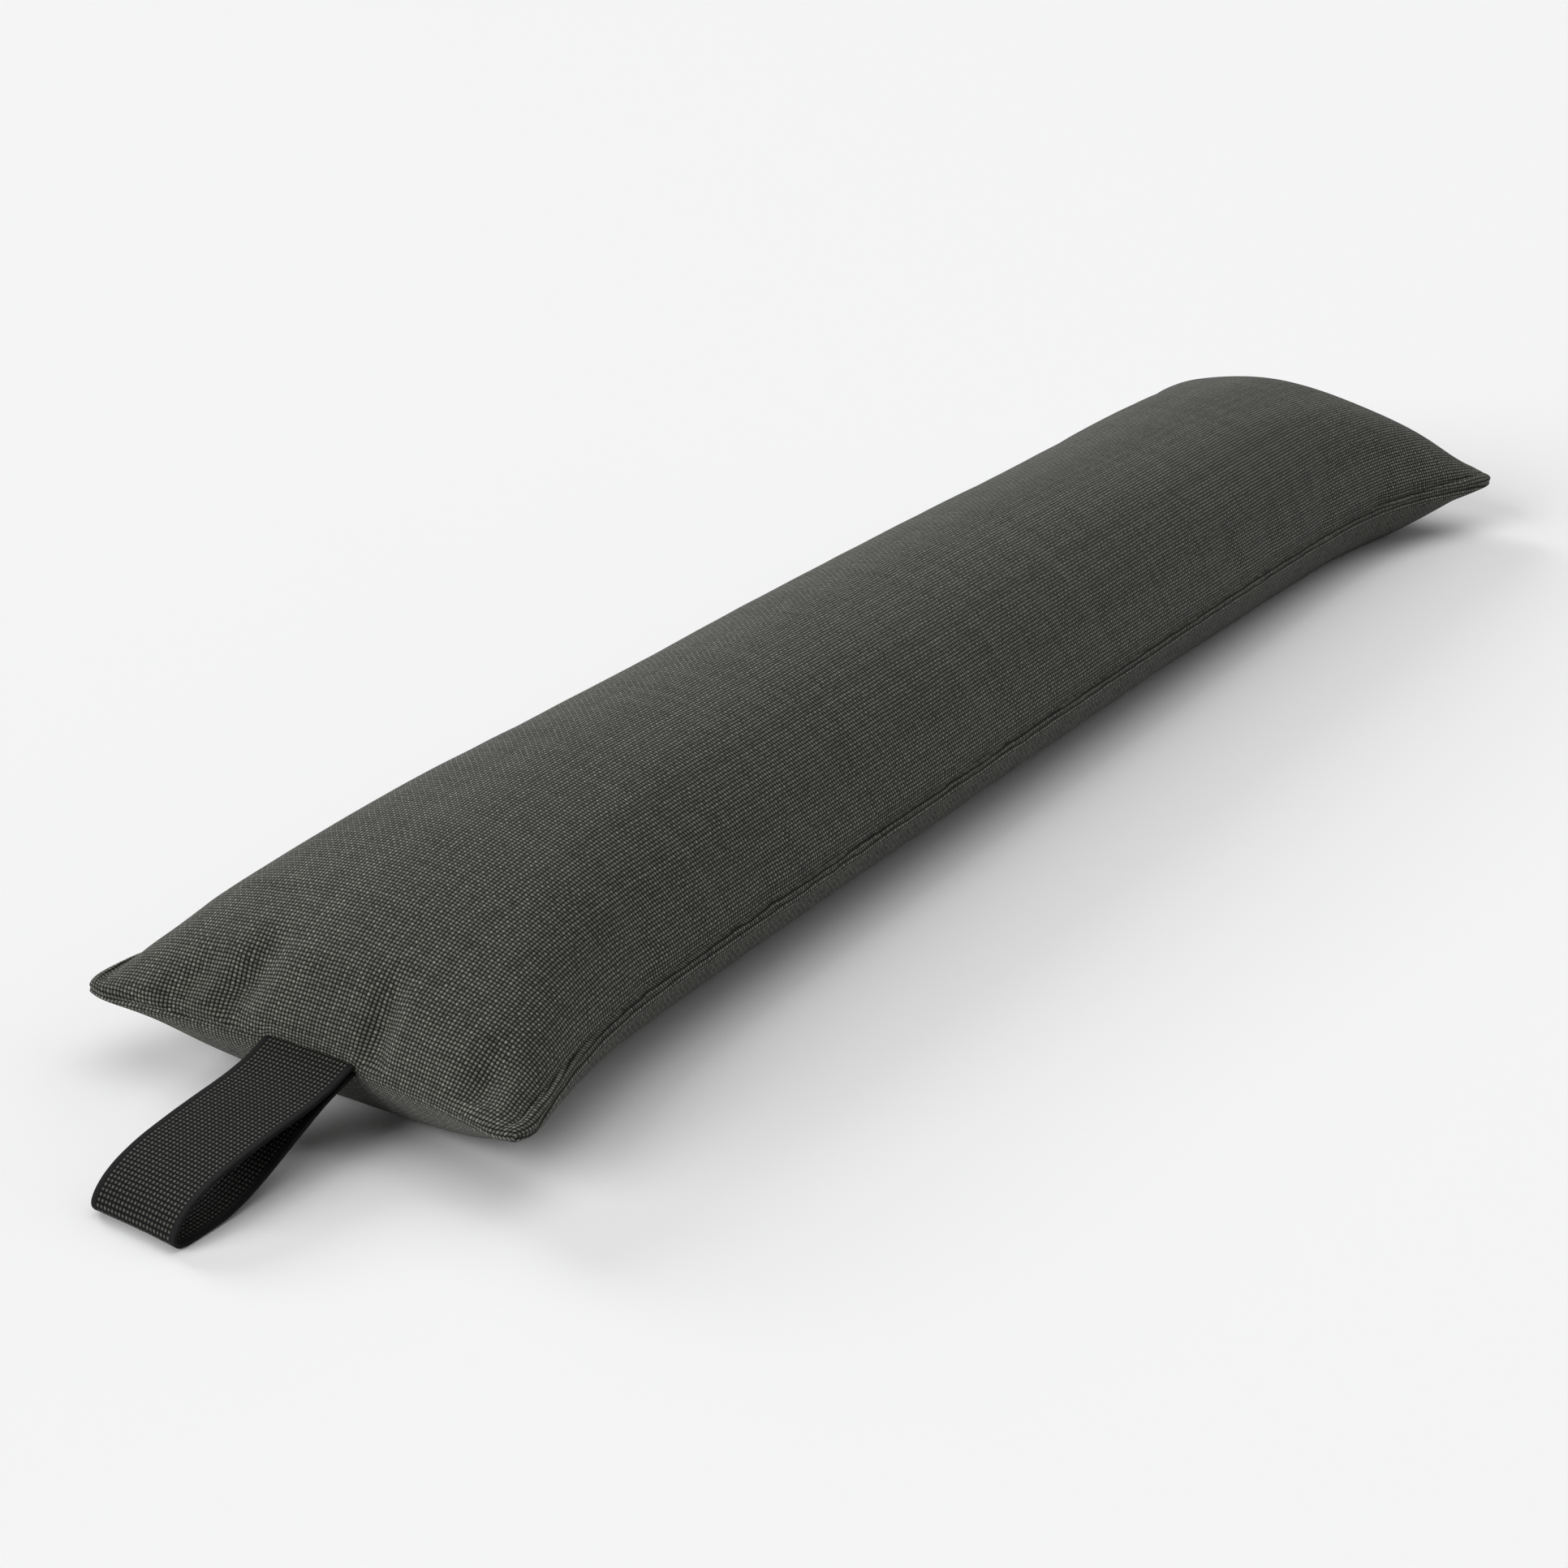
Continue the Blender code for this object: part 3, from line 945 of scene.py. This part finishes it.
@dataclass
class ClothSettling:
    """A short cloth simulation of the filled cover, which gives it its small creases.

    The simulated cloth is a coarse copy of the cover that wants to be its own flat panels again,
    blown up by pressure. Only its fine movement is kept: each point's move, less the average of
    its surroundings, up to a cap.
    """

    rows_along: int = 150
    rows_across: int = 38
    frames: int = 20
    pressure: float = 4.0
    vertex_mass: float = 0.3
    tension: float = 20.0
    shear: float = 8.0
    bending: float = 1.5
    layer_gap: float = 0.0002         # half of the gap between the flat panels of its rest shape
    quality: int = 6
    surroundings: float = 0.022       # reach of the average that is taken off
    softening: float = 0.0045         # blur from the coarse grid to the fine one
    cap: float = 0.0016
    seam_rest: float = 0.018          # reach beside the seams where the cloth stays as sewn

    def shares(self) -> Pair:
        """The coarse grid's shares along and across."""
        return np.linspace(0, 1, self.rows_along), np.linspace(0, 1, self.rows_across)

    def simulate(self, closed: ClosedPanels, filled: np.ndarray, flat: np.ndarray) -> np.ndarray:
        """Runs Blender's cloth on a coarse copy of the cover, and removes the copy.

        Args:
            closed: the numbering of the copy's points.
            filled: its points at the start.
            flat: its points in the rest shape.

        Returns:
            Its points at the end.
        """
        mesh = bpy.data.meshes.new("settling")
        mesh.from_pydata(filled.tolist(), [], closed.faces.tolist())
        copy = bpy.data.objects.new("settling", mesh)
        scene = bpy.context.scene
        scene.collection.objects.link(copy)
        copy.shape_key_add(name="filled")
        rest = copy.shape_key_add(name="flat")
        rest.data.foreach_set("co", flat.ravel())
        cloth = copy.modifiers.new("cloth", "CLOTH")
        settings = cloth.settings
        settings.quality = self.quality
        settings.mass = self.vertex_mass
        settings.tension_stiffness = settings.compression_stiffness = self.tension
        settings.shear_stiffness = self.shear
        settings.bending_stiffness = self.bending
        settings.use_pressure = True
        settings.uniform_pressure_force = self.pressure
        settings.effector_weights.gravity = 0.0
        settings.rest_shape_key = rest
        cloth.collision_settings.use_collision = False
        cloth.point_cache.frame_start, cloth.point_cache.frame_end = 1, self.frames
        for number in range(1, self.frames + 1):
            scene.frame_set(number)
        settled = copy.evaluated_get(bpy.context.evaluated_depsgraph_get())
        moved = np.empty(len(filled) * 3, dtype=np.float32)
        settled.data.vertices.foreach_get("co", moved)
        bpy.data.objects.remove(copy, do_unlink=True)
        bpy.data.meshes.remove(mesh)
        scene.frame_set(1)
        return moved.reshape(-1, 3)

    def fine_moves(self, cover: FilledCover) -> dict[Side, np.ndarray]:
        """Works out each panel's fine movement on the coarse grid.

        Args:
            cover: the cover, whose smooth form is simulated.

        Returns:
            The moves of each panel's points.
        """
        shares_along, shares_across = self.shares()
        along, across = cover.grid.places(shares_along, shares_across)
        closed = ClosedPanels(len(shares_along), len(shares_across))
        smooth = {}
        for side in Side:
            u, v = cover.grid.over(cover.form, side, shares_along, shares_across)
            smooth[side] = cover.form.points(u, v, side)[0]
        lie = {side: np.stack([along, across, np.full_like(along, height)], axis=-1)
               for side, height in ((Side.TOP, self.layer_gap), (Side.UNDER, -self.layer_gap))}
        start = closed.points(smooth[Side.TOP], smooth[Side.UNDER])
        rest = closed.points(lie[Side.TOP], lie[Side.UNDER])
        moves = closed.split(self.simulate(closed, start, rest) - start)
        fine = {}
        for side, move in zip(Side, moves):
            slow = self.blurred(cover.grid, move, shares_along, shares_across, self.surroundings)
            quick = move - slow
            size = np.linalg.norm(quick, axis=-1, keepdims=True)
            fine[side] = quick / np.maximum(1, size / self.cap)
            LOG.info("cloth moved %s by up to %.1f mm", side.value, 1000 * np.abs(move).max())
        return fine

    def blurred(
        self,
        grid: ClothGrid,
        moves: np.ndarray,
        shares_along: np.ndarray,
        shares_across: np.ndarray,
        reach: float,
    ) -> np.ndarray:
        """Blurs moves of the coarse grid's points onto another grid, with a bell curve.

        Args:
            grid: the flat panel's grid.
            moves: the moves on the coarse grid.
            shares_along: the other grid's rows.
            shares_across: the other grid's columns.
            reach: the bell curve's standard deviation, in metres.

        Returns:
            The moves of the other grid's points.
        """
        rows, columns = self.shares()
        to_rows = blur_matrix(shares_along, rows, reach / grid.panel_length)
        to_columns = blur_matrix(shares_across, columns, reach / grid.panel_width)
        return np.einsum("ia,abk,jb->ijk", to_rows, moves, to_columns)

    def carried(
        self,
        cover: FilledCover,
        moves: np.ndarray,
        shares_along: np.ndarray,
        shares_across: np.ndarray,
    ) -> np.ndarray:
        """Carries one panel's moves over to a finer grid.

        Args:
            cover: the cover.
            moves: the moves on the coarse grid.
            shares_along: the finer grid's rows.
            shares_across: the finer grid's columns.

        Returns:
            The moves of the finer grid's points, which fade out at the seams.
        """
        _, _, to_seam = cover.seam_distances(*cover.grid.places(shares_along, shares_across))
        free = 1 - bell(to_seam, self.seam_rest)
        own = self.blurred(cover.grid, moves, shares_along, shares_across, self.softening)
        return own * free[..., None]


@dataclass
class FilledCover:
    """The two canvas panels, sewn all round, turned and filled."""

    name: str = "canvas_cover"
    node: str = "filled_cover"
    finish: WovenFinish = CANVAS
    form: CushionForm = field(default_factory=CushionForm)
    grid: ClothGrid = field(default_factory=ClothGrid)
    settling: ClothSettling = field(default_factory=ClothSettling)
    fill: float = 0.85
    under_island: float = 0.25        # where the underside starts in the UV map
    ear_thickness: float = 0.0060
    bead: float = 0.0006              # how far the long seams stand out
    end_bead: float = 0.0002          # and the short ones
    bead_reach: float = 0.0022
    crease: Groove = Groove(0.0008, 0.0, 0.0009)
    end_crease: Groove = Groove(0.0003, 0.0, 0.0009)
    side_grooves: Sequence[Groove] = (
        Groove(0.0013, 0.0045, 0.0030),
        Groove(0.0017, 0.0024, 0.0008),
    )
    side_groove_start: float = 0.006  # how far from the short seams they begin
    end_grooves: Sequence[Groove] = (Groove(0.0003, 0.0070, 0.0040),)
    end_groove_start: float = 0.015   # how far from the long seams they begin
    corner_widening: float = 0.0040   # how much further from the seam a groove lies at a corner
    corner_reach: float = 0.045
    ear_groove: float = 0.55          # share of a side's groove that is left on an ear
    under_grooves: Sequence[Groove] = (
        Groove(-0.0009, 0.0030, 0.0026),
        Groove(0.0007, 0.0085, 0.0030),
    )
    under_groove_start: float = 0.030  # how far from the short seams they begin
    seam_wander: float = 0.00018      # how far the grooves stray from a straight line
    seam_wavelength: float = 0.045
    seam_seed: int = 11
    loop_place: tuple[float, float] = (-0.0014, 0.0208)    # the webbing's middle and half width
    loop_lift: float = 0.0022
    loop_lift_reach: float = 0.0060
    loop_lift_edge: float = 0.0009    # softness of the step at the webbing's edges
    pucker_start: float = 0.7         # below 1, the deepest place is nearer the pucker's start
    puckers: Sequence[Pucker] = (     # all in the top panel
        Pucker(0.002, 0.040, 0.046, 0.024, 0.0056, 0.0075),
        Pucker(0.001, 0.064, 0.030, 0.045, 0.0032, 0.0070),
        Pucker(0.002, -0.028, 0.044, -0.026, 0.0048, 0.0058),
        Pucker(0.006, -0.078, 0.036, -0.074, 0.0036, 0.0060),
        Pucker(0.106, -0.100, 0.128, -0.066, 0.0013, 0.0090),
        Pucker(0.190, -0.098, 0.208, -0.072, 0.0010, 0.0085),
        Pucker(0.596, -0.090, 0.628, -0.060, 0.0012, 0.0090),
        Pucker(0.640, -0.092, 0.664, -0.066, 0.0012, 0.0080),
        Pucker(0.696, -0.098, 0.738, -0.056, 0.0017, 0.0085),
        Pucker(0.758, -0.100, 0.782, -0.070, 0.0016, 0.0070),
        Pucker(0.060, 0.045, 0.210, 0.045, -0.0014, 0.0240),
        Pucker(0.640, 0.040, 0.760, 0.040, -0.0010, 0.0240),
    )
    unevenness: Sequence[tuple[float, float]] = (    # heights and wavelengths
        (0.00018, 0.110),
        (0.00006, 0.030),
    )
    uneven_seed: int = 21
    settle_reach: float = 0.012       # reach beside the seams that is left even

    def normals(self, points: np.ndarray, side: Side) -> np.ndarray:
        """Outward normals: the cross product of the grid's steps along and across.

        Args:
            points: one panel's points.
            side: the panel.

        Returns:
            Unit normals.
        """
        normals = np.cross(np.gradient(points, axis=0), np.gradient(points, axis=1))
        normals /= np.linalg.norm(normals, axis=-1, keepdims=True)
        return normals if side is Side.TOP else -normals

    def pucker_depth(self, along: np.ndarray, across: np.ndarray, pucker: Pucker) -> np.ndarray:
        """The trough's depth: a sine along its line, and exp(-(distance / width)^2) beside it.

        Args:
            along: places along the cloth.
            across: places across it.
            pucker: the pucker.

        Returns:
            Metres inward at each place.
        """
        run = np.array([pucker.end_along - pucker.along, pucker.end_across - pucker.across])
        length = np.linalg.norm(run)
        run /= length
        share = ((along - pucker.along) * run[0] + (across - pucker.across) * run[1]) / length
        aside = (across - pucker.across) * run[0] - (along - pucker.along) * run[1]
        swell = np.sin(math.pi * np.clip(share, 0, 1) ** self.pucker_start)
        return pucker.depth * swell * bell(aside, pucker.width)

    def seam_distances(
        self, along: np.ndarray, across: np.ndarray
    ) -> tuple[np.ndarray, np.ndarray, np.ndarray]:
        """Distances over the cloth to the nearest seams.

        Args:
            along: places along the cloth.
            across: places across it.

        Returns:
            The distances to a short seam, to a long seam, and to either of them.
        """
        to_end = np.minimum(along, self.grid.panel_length - along)
        to_side = self.grid.panel_width / 2 - np.abs(across)
        return to_end, to_side, np.minimum(to_end, to_side)

    def grooves(
        self,
        side: Side,
        ear: np.ndarray,
        to_end: np.ndarray,
        to_side: np.ndarray,
        wander: np.ndarray,
    ) -> np.ndarray:
        """The furrows beside the seams: each groove's cut, added up, and faded at the corners.

        Args:
            side: the panel.
            ear: how much each point belongs to a corner's ear.
            to_end: distances to the nearest short seam.
            to_side: distances to the nearest long seam.
            wander: how far the long seams' grooves stray at each point.

        Returns:
            Metres inward at each point.
        """
        if side is Side.UNDER:
            cut = sum(groove.cut(to_side + wander) for groove in self.under_grooves)
            return cut * (1 - bell(to_end, self.under_groove_start)) * (1 - ear)
        beside = to_side - self.corner_widening * bell(to_end, self.corner_reach) + wander
        sides = sum(groove.cut(beside) for groove in self.side_grooves)
        sides *= (1 - bell(to_end, self.side_groove_start)) * (1 - (1 - self.ear_groove) * ear)
        ends = sum(groove.cut(to_end) for groove in self.end_grooves)
        return sides + ends * (1 - bell(to_side, self.end_groove_start)) * (1 - ear)

    def loop_room(self, along: np.ndarray, y: np.ndarray) -> np.ndarray:
        """The cover's lift over the webbing: a soft step at its edges, times a bell curve.

        Args:
            along: places along the cloth.
            y: places across the cushion.

        Returns:
            Metres upward at each place.
        """
        middle, half = self.loop_place
        over_loop = 1 / (1 + np.exp((np.abs(y - middle) - half) / self.loop_lift_edge))
        return self.loop_lift * over_loop * bell(along, self.loop_lift_reach)

    def panel(
        self, side: Side, shares_along: np.ndarray, shares_across: np.ndarray
    ) -> np.ndarray:
        """One panel's points, with its grooves, bead, ears and puckers.

        Args:
            side: the panel.
            shares_along: the grid's rows.
            shares_across: the grid's columns.

        Returns:
            The points, around the cover's own middle.
        """
        u, v = self.grid.over(self.form, side, shares_along, shares_across)
        points, ear = self.form.points(u, v, side)
        along, across = self.grid.places(shares_along, shares_across)
        to_end, to_side, to_seam = self.seam_distances(along, across)

        wander = self.seam_wander * soft_noise(along, across, self.seam_wavelength, self.seam_seed)
        inward = self.grooves(side, ear, to_end, to_side, wander)
        inward -= self.ear_thickness / 2 * ear * (1 - np.exp(-to_seam / self.bead_reach))
        for pucker in self.puckers if side is Side.TOP else ():
            inward += self.pucker_depth(along, across, pucker)
        settled = 1 - bell(to_seam, self.settle_reach)
        for seed, (height, wavelength) in enumerate(self.unevenness, self.uneven_seed):
            inward += height * settled * soft_noise(along, across, wavelength, seed)
        inward = np.where(to_seam > 0, inward, 0.0)
        points = points - self.normals(points, side) * inward[..., None]

        for axis, sign, distance, bead, crease in (
            (0, np.sign(u), to_end, self.end_bead, self.end_crease),
            (1, np.sign(v), to_side, self.bead, self.crease),
        ):
            out = bead - crease.cut(to_seam)
            points[..., axis] += sign * out * bell(distance, self.bead_reach)
        points[..., 2] += self.loop_room(along, points[..., 1])
        points[..., 2] = np.maximum(points[..., 2], 0.0)
        return points

    def build(self) -> bpy.types.Object:
        """Builds the cover as one closed mesh, whose panels share their seam line.

        Returns:
            The cover, riding on the body and standing for its solid.
        """
        shares_along, shares_across = self.grid.axes()
        moves = self.settling.fine_moves(self)
        panels = {}
        for side in Side:
            panels[side] = self.panel(side, shares_along, shares_across)
            if moves:
                own = self.settling.carried(self, moves[side], shares_along, shares_across)
                panels[side] += own
            panels[side][..., 2] = np.maximum(panels[side][..., 2], 0.0)
        closed = ClosedPanels(len(shares_along), len(shares_across))
        points = closed.points(panels[Side.TOP], panels[Side.UNDER])
        points[:, :2] += self.form.centre

        along, across = self.grid.places(shares_along, shares_across)
        flat = np.stack([along, across + self.grid.panel_width / 2], axis=-1)
        cloth = np.concatenate([quads(flat), quads(flat + (0.0, self.under_island), True)])
        cover = mesh_object(self.name, points, closed.faces, cloth)
        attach(cover, BODY)
        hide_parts(self.node)
        return cover


# The webbing loop


@dataclass
class WebbingLoop:
    """One length of webbing folded in half, its two ends caught in the short seam."""

    name: str = "webbing_strap"
    sewn_to: str = "canvas_cover"
    node: str = "webbing_loop"
    finish: WovenFinish = WEBBING
    width: float = 0.0415
    thickness: float = 0.0016
    centre: float = -0.0014           # where it leaves the seam, from the cushion's middle
    lean: float = 0.034               # metres to the left for each metre it stands out
    skew: float = 0.036               # share by which the loop is shorter at its left edge
    clearance: float = 0.0003
    caught: float = 0.0040            # length inside the seam
    path_steps: int = 22
    face_steps: int = 46
    edge_steps: int = 6
    path: Sequence[tuple[float, float]] = (    # how far it stands out from its root, and its height
        (0.0000, 0.0295),
        (0.0110, 0.0258),
        (0.0230, 0.0236),
        (0.0390, 0.0220),
        (0.0520, 0.0205),
        (0.0665, 0.0182),
        (0.0780, 0.0148),
        (0.0858, 0.0104),
        (0.0900, 0.0054),
        (0.0892, 0.0021),
        (0.0856, 0.0009),
        (0.0780, 0.0009),
        (0.0640, 0.0020),
        (0.0490, 0.0066),
        (0.0300, 0.0152),
        (0.0150, 0.0219),
        (0.0000, 0.0268),
    )

    def profile(self) -> Pair:
        """The strip's section: two flat faces joined by half circles.

        Returns:
            Places across, from -1/2 to 1/2 of the width, and heights above the strip's middle.
        """
        radius = self.thickness / 2
        flat = 1 - self.thickness / self.width
        across = (np.linspace(0, 1, self.face_steps + 1) - 0.5) * flat
        turn = np.linspace(0, math.pi, self.edge_steps + 1)[1:-1]
        edge_across = 0.5 * flat + np.sin(turn) * radius / self.width
        edge_height = np.cos(turn) * radius
        places = np.concatenate([across, edge_across, across[::-1], -edge_across])
        heights = np.concatenate(
            [np.full_like(across, radius), edge_height, np.full_like(across, -radius), -edge_height]
        )
        return places, heights

    def build(self, form: CushionForm, bead: float) -> bpy.types.Object:
        """Carries the strip's section along its path.

        Args:
            form: the cushion, whose short seam the strip leaves.
            bead: how far the seam's bead stands out.

        Returns:
            The strap, riding on the body and standing for its solid.
        """
        route = curve_through(np.array(self.path), self.path_steps)
        route[:, 1] = np.maximum(route[:, 1], self.thickness / 2)
        inside = np.array([[-self.caught, 0.0]])
        route = np.concatenate([route[:1] + inside, route, route[-1:] + inside])
        heading = np.gradient(route, axis=0)
        heading /= np.linalg.norm(heading, axis=1, keepdims=True)
        length = length_along(route)

        place, height = self.profile()
        to_left = (place + 0.5)[None, :]
        at_seam = self.centre + place * self.width
        v = at_seam / np.where(at_seam > 0, form.near_left.half_width, form.near_right.half_width)
        seam_x = -form.length / 2 + form.near_end.drawn_in * (1 - v**2) - bead
        out = route[:, :1] - heading[:, 1:] * height[None, :]
        z = route[:, 1:] + heading[:, :1] * height[None, :]
        x = seam_x[None, :] - self.clearance - out * (1 - self.skew * to_left)
        y = at_seam[None, :] + self.lean * out
        points = np.stack(np.broadcast_arrays(x, y, z), axis=-1)
        points[..., 0] += form.centre[0]
        points[..., 1] += form.centre[1]
        points[..., 2] = np.maximum(points[..., 2], 0.0)

        rows, columns = points.shape[:2]
        numbers = np.arange(rows * columns).reshape(rows, columns)
        numbers = np.concatenate([numbers, numbers[:, :1]], axis=1)
        over = np.linspace(0, 1, self.face_steps + 1)
        rim = np.ones(self.edge_steps - 1)
        over = np.concatenate([over, rim, 1 + over, 1 + rim, [2.0]]) * self.width
        flat = np.stack(np.meshgrid(length, over, indexing="ij"), axis=-1)
        caps = (numbers[0, :-1], numbers[-1, -2::-1])
        points, cloth = points.reshape(-1, 3), quads(flat, True)
        strap = mesh_object(self.name, points, quads(numbers, True), cloth, caps)
        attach(strap, BODY)
        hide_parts(self.node)
        return strap


# The studio


@dataclass(frozen=True)
class SoftLight:
    """A distant light that is spread over part of the sky; angles in degrees."""

    name: str
    azimuth: float        # from +X towards +Y
    elevation: float
    spread: float
    strength: float

    def add(self) -> None:
        """Adds the light, turned to shine from its place in the sky."""
        data = bpy.data.lights.new(self.name, "SUN")
        data.energy = self.strength
        data.angle = math.radians(self.spread)
        light = bpy.data.objects.new(self.name, data)
        a, e = math.radians(self.azimuth), math.radians(self.elevation)
        place = Vector((math.cos(a) * math.cos(e), math.sin(a) * math.cos(e), math.sin(e)))
        light.rotation_mode = "QUATERNION"
        light.rotation_quaternion = place.to_track_quat("Z", "Y")
        bpy.context.scene.collection.objects.link(light)


@dataclass
class Studio:
    """A pale floor, soft light mostly from the left, and the camera at the photograph's angle."""

    eye: tuple[float, float, float] = (-1.1989, -0.7667, 0.6466)
    azimuth: float = -56.2562         # of where it stands, in degrees from -Y towards +X
    elevation: float = 24.4798
    roll: float = -0.1458
    lens: float = 83.61
    sensor: float = 36.0
    clip: tuple[float, float] = (0.05, 100.0)
    floor_size: float = 40.0
    floor_drop: float = 0.0002
    floor_colour: Colour = (0.83, 0.83, 0.835)
    floor_roughness: float = 0.9
    floor_specular: float = 0.1
    world_strength: float = 0.14
    lights: Sequence[SoftLight] = (
        SoftLight("back left", azimuth=70.0, elevation=25.0, spread=22.0, strength=1.30),
        SoftLight("front left", azimuth=153.0, elevation=25.0, spread=45.0, strength=2.60),
        SoftLight("overhead", azimuth=0.0, elevation=90.0, spread=60.0, strength=0.85),
        SoftLight("right", azimuth=-30.0, elevation=30.0, spread=90.0, strength=1.00),
    )

    def add_camera(self) -> None:
        """Places the camera: it looks back along the azimuth and elevation, a little rolled."""
        a, e, r = (math.radians(angle) for angle in (self.azimuth, self.elevation, self.roll))
        back = Vector((math.sin(a) * math.cos(e), -math.cos(a) * math.cos(e), math.sin(e)))
        right = (-back).cross(Vector((0, 0, 1))).normalized()
        up = right.cross(-back)
        right, up = right * math.cos(r) + up * math.sin(r), up * math.cos(r) - right * math.sin(r)
        data = bpy.data.cameras.new("camera")
        data.lens = self.lens
        data.sensor_width = self.sensor
        data.clip_start, data.clip_end = self.clip
        camera = bpy.data.objects.new("camera", data)
        turned = Matrix((right, up, back)).transposed().to_4x4()
        camera.matrix_world = Matrix.Translation(self.eye) @ turned
        bpy.context.scene.collection.objects.link(camera)
        bpy.context.scene.camera = camera

    def add_floor(self) -> None:
        """Lays the pale floor just under the object."""
        half, z = self.floor_size / 2, -self.floor_drop
        corners = [(-half, -half, z), (half, -half, z), (half, half, z), (-half, half, z)]
        mesh = bpy.data.meshes.new("floor")
        mesh.from_pydata(corners, [], [(0, 1, 2, 3)])
        floor = bpy.data.objects.new("floor", mesh)
        bpy.context.scene.collection.objects.link(floor)
        material = bpy.data.materials.new("pale floor")
        material.use_nodes = True
        shader = material.node_tree.nodes["Principled BSDF"]
        shader.inputs["Base Color"].default_value = opaque(self.floor_colour)
        shader.inputs["Roughness"].default_value = self.floor_roughness
        shader.inputs["Specular IOR Level"].default_value = self.floor_specular
        mesh.materials.append(material)

    def add_lights(self) -> None:
        """Adds the distant lights and the world's even light."""
        for light in self.lights:
            light.add()
        world = bpy.data.worlds.new("studio")
        world.use_nodes = True
        background = world.node_tree.nodes["Background"]
        background.inputs["Color"].default_value = opaque((1.0, 1.0, 1.0))
        background.inputs["Strength"].default_value = self.world_strength
        bpy.context.scene.world = world

    def build(self) -> None:
        """Adds everything, and shows the colours as they are."""
        self.add_camera()
        self.add_floor()
        self.add_lights()
        bpy.context.scene.view_settings.view_transform = "Standard"


def main() -> None:
    """Builds the studio, the cover and the strap."""
    logging.basicConfig(level=logging.INFO, format="%(name)s: %(message)s")
    Studio().build()
    weave, fibres = WeaveGroup(), FibreGroup()

    cover = FilledCover()
    piece = cover.build()
    piece.data.materials.append(cover.finish.material(weave, fibres))
    LOG.info("%s: %d faces", piece.name, len(piece.data.polygons))

    loop = WebbingLoop()
    strap = loop.build(cover.form, cover.bead)
    strap.data.materials.append(loop.finish.material(weave, fibres))
    LOG.info("%s: %d faces", strap.name, len(strap.data.polygons))


if __name__ == "__main__":
    main()
